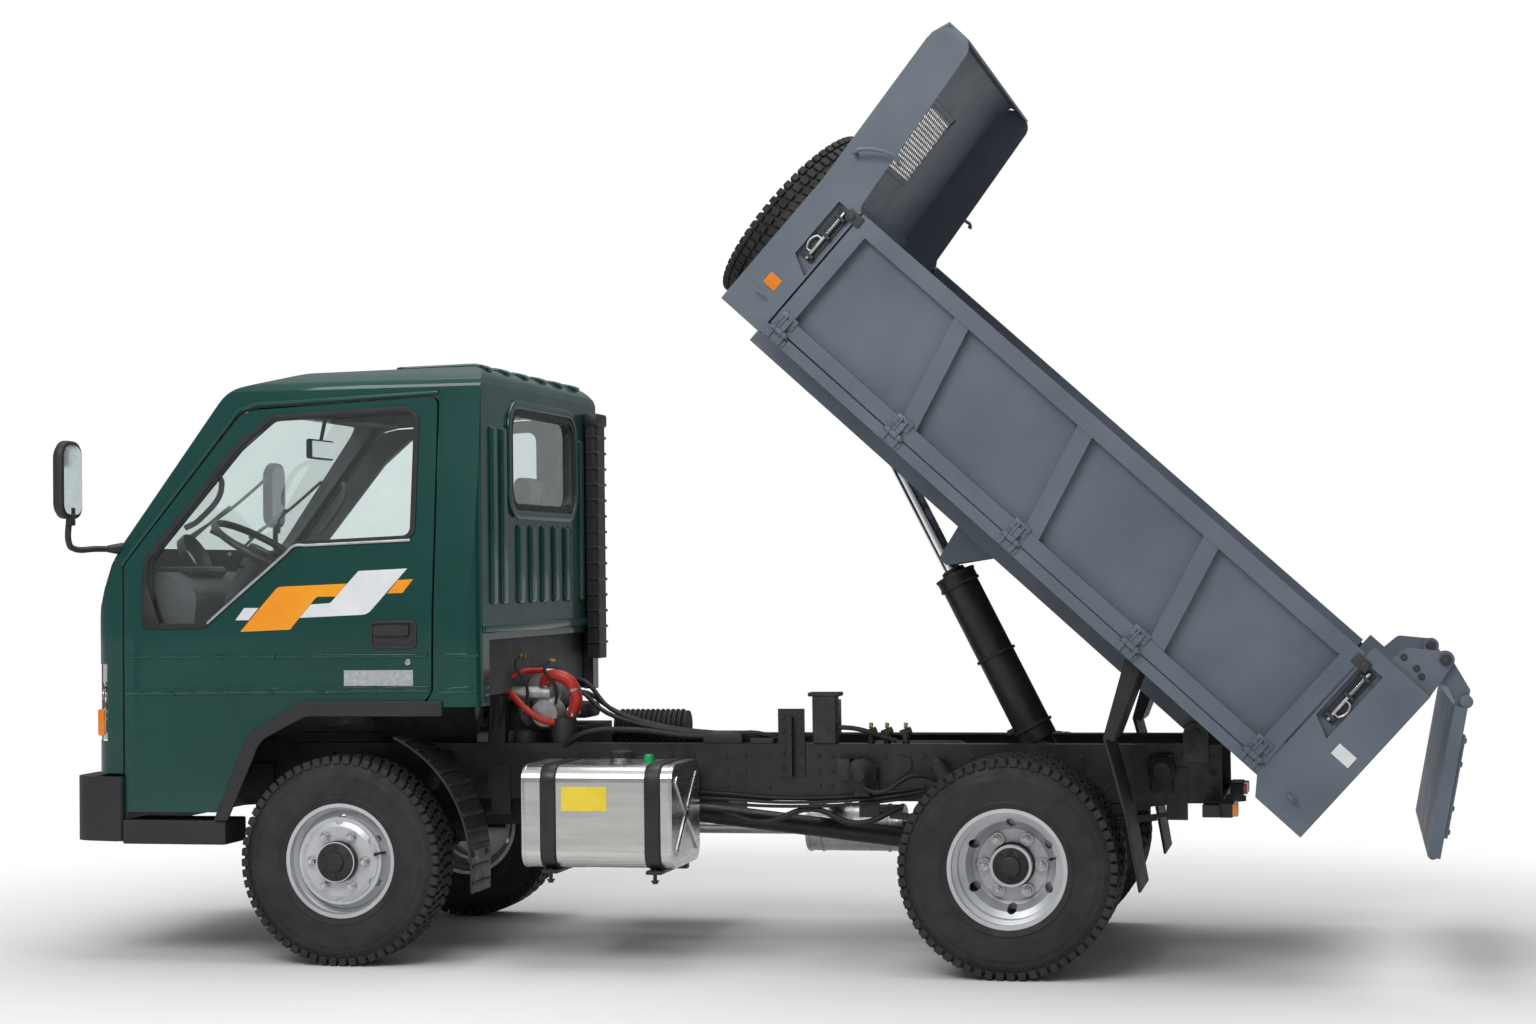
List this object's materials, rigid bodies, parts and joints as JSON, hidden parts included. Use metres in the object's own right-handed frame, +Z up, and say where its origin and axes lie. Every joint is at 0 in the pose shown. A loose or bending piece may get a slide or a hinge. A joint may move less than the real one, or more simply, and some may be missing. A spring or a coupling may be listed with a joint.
{
  "type": "light cab-over dump truck",
  "caption": "Light cab-over dump truck with a raised drop-side bed, hydraulic hoist, hinged doors and gates, a tilting cab, steering front wheels and paired rear tyres.",
  "frame": {"origin": "middle of the bounding box at ground level, with the bed raised as in the rest pose", "axes": "+X runs rearward along the truck, +Y to its right-hand side, +Z up"},
  "size_m": [5.1238, 2.06, 3.3347],
  "materials": {
    "frame_black": "satin",
    "cab_green": "gloss",
    "bed_grey": "satin",
    "wheel_silver": "satin",
    "tyre_rubber": "matte",
    "black_plastic": "matte",
    "rubber": "matte",
    "glass": "gloss",
    "lamp_clear": "gloss",
    "lamp_red": "gloss",
    "interior_grey": "matte",
    "seat_cloth": "matte",
    "cast_metal": "matte",
    "tank_steel": "brushed",
    "pipe_steel": "satin",
    "rod_chrome": "polished"
  },
  "bodies": {
    "root": {"chassis_rail_left": "frame_black", "chassis_rail_right": "frame_black", "cross_member_front": "frame_black", "cross_member_engine": "frame_black", "cross_member_gearbox": "frame_black", "cross_member_middle": "frame_black", "cross_member_hoist": "frame_black", "cross_member_rear": "frame_black", "cab_rest": "frame_black", "engine_block": "cast_metal", "intake_hose": "rubber", "front_axle": "frame_black", "leaf_springs": "frame_black", "rear_axle": "frame_black", "propshaft": "frame_black", "exhaust": "pipe_steel", "fuel_tank": "tank_steel", "battery_box": "black_plastic", "front_mudguards": "black_plastic", "tail_lights": "lamp_red"},
    "cab": {"front_bumper": "black_plastic", "side_steps": "black_plastic", "cab_floor": "interior_grey", "cab_shell": "cab_green", "front_panel": "cab_green", "cab_glass": "glass", "headlamps": "lamp_clear", "mirrors": "black_plastic", "arch_flares": "black_plastic", "dashboard": "interior_grey", "seats": "seat_cloth", "air_snorkel": "black_plastic"},
    "door_left": {"door_left": "cab_green", "door_glass_left": "glass"},
    "door_right": {"door_right": "cab_green", "door_glass_right": "glass"},
    "steering_wheel": {"steering_wheel": "black_plastic"},
    "knuckle_left": {"knuckle_left": "frame_black"},
    "knuckle_right": {"knuckle_right": "frame_black"},
    "wheel_front_left": {"front_tyre_left": "tyre_rubber", "front_rim_left": "wheel_silver"},
    "wheel_front_right": {"front_tyre_right": "tyre_rubber", "front_rim_right": "wheel_silver"},
    "wheel_rear_left": {"rear_tyres_left": "tyre_rubber", "rear_rims_left": "wheel_silver"},
    "wheel_rear_right": {"rear_tyres_right": "tyre_rubber", "rear_rims_right": "wheel_silver"},
    "hoist_barrel": {"hoist_barrel": "frame_black"},
    "hoist_rod": {"hoist_rod": "rod_chrome"},
    "bed": {"bed_floor": "bed_grey", "headboard": "bed_grey", "rear_posts": "bed_grey", "bed_mudguards": "rubber", "spare_tyre": "tyre_rubber", "spare_rim": "wheel_silver"},
    "side_gate_left": {"side_gate_left": "bed_grey"},
    "side_gate_right": {"side_gate_right": "bed_grey"},
    "tailgate": {"tailgate": "bed_grey"}
  },
  "joints": [
    {"name": "cab_tilt", "type": "hinge", "parent": "root", "child": "cab", "pos_m": [-2.34193, 0, 0.66], "axis": [0, -1, 0], "range_deg": [0, 40]},
    {"name": "door_left_swing", "type": "hinge", "parent": "cab", "child": "door_left", "pos_m": [-2.30193, -0.794, 1.3], "axis": [0, 0, -1], "range_deg": [0, 70]},
    {"name": "door_right_swing", "type": "hinge", "parent": "cab", "child": "door_right", "pos_m": [-2.30193, 0.794, 1.3], "axis": [0, 0, 1], "range_deg": [0, 70]},
    {"name": "steer_left", "type": "hinge", "parent": "root", "child": "knuckle_left", "pos_m": [-1.46193, -0.5575, 0.385], "axis": [0, 0, 1], "range_deg": [-32, 32]},
    {"name": "steer_right", "type": "hinge", "parent": "root", "child": "knuckle_right", "pos_m": [-1.46193, 0.5575, 0.385], "axis": [0, 0, 1], "range_deg": [-32, 32]},
    {"name": "steering_wheel_turn", "type": "hinge", "parent": "cab", "child": "steering_wheel", "pos_m": [-1.93193, -0.4, 1.545], "axis": [0.5, 0, 0.866], "range_deg": [-390, 390]},
    {"name": "spin_front_left", "type": "hinge", "parent": "knuckle_left", "child": "wheel_front_left", "pos_m": [-1.46193, -0.7075, 0.385], "axis": [0, 1, 0], "continuous": true},
    {"name": "spin_front_right", "type": "hinge", "parent": "knuckle_right", "child": "wheel_front_right", "pos_m": [-1.46193, 0.7075, 0.385], "axis": [0, 1, 0], "continuous": true},
    {"name": "spin_rear_left", "type": "hinge", "parent": "root", "child": "wheel_rear_left", "pos_m": [0.99807, -0.7075, 0.385], "axis": [0, 1, 0], "continuous": true},
    {"name": "spin_rear_right", "type": "hinge", "parent": "root", "child": "wheel_rear_right", "pos_m": [0.99807, 0.7075, 0.385], "axis": [0, 1, 0], "continuous": true},
    {"name": "bed_tilt", "type": "hinge", "parent": "root", "child": "bed", "pos_m": [1.62807, 0, 0.825], "axis": [0, 1, 0], "range_deg": [-42.5, 4.5]},
    {"name": "tailgate_swing", "type": "hinge", "parent": "bed", "child": "tailgate", "pos_m": [2.48281, 0, 1.1065], "axis": [0, -1, 0], "range_deg": [-31.57, 50]},
    {"name": "side_gate_left_drop", "type": "hinge", "parent": "bed", "child": "side_gate_left", "pos_m": [1.71117, -0.862, 0.91568], "axis": [0.7373, 0, -0.6756], "range_deg": [0, 170]},
    {"name": "side_gate_right_drop", "type": "hinge", "parent": "bed", "child": "side_gate_right", "pos_m": [1.71117, 0.862, 0.91568], "axis": [-0.7373, 0, 0.6756], "range_deg": [0, 170]},
    {"name": "hoist_swing", "type": "hinge", "parent": "root", "child": "hoist_barrel", "pos_m": [1.04807, 0, 0.74], "axis": [0, 1, 0], "range_deg": [-58.03, 6.59]},
    {"name": "hoist_extend", "type": "slide", "parent": "hoist_barrel", "child": "hoist_rod", "axis": [-0.4473, 0, 0.8944], "range_m": [-0.2953, 0.034]}
  ],
  "couplings": [
    {"joint": "steer_right", "follows": "steer_left", "ratio": 1},
    {"joint": "steering_wheel_turn", "follows": "steer_left", "ratio": 12},
    {"joint": "hoist_swing", "follows": "bed_tilt", "ratio": 1.3538},
    {"joint": "hoist_extend", "follows": "bed_tilt", "m_per_rad": 0.39408}
  ]
}
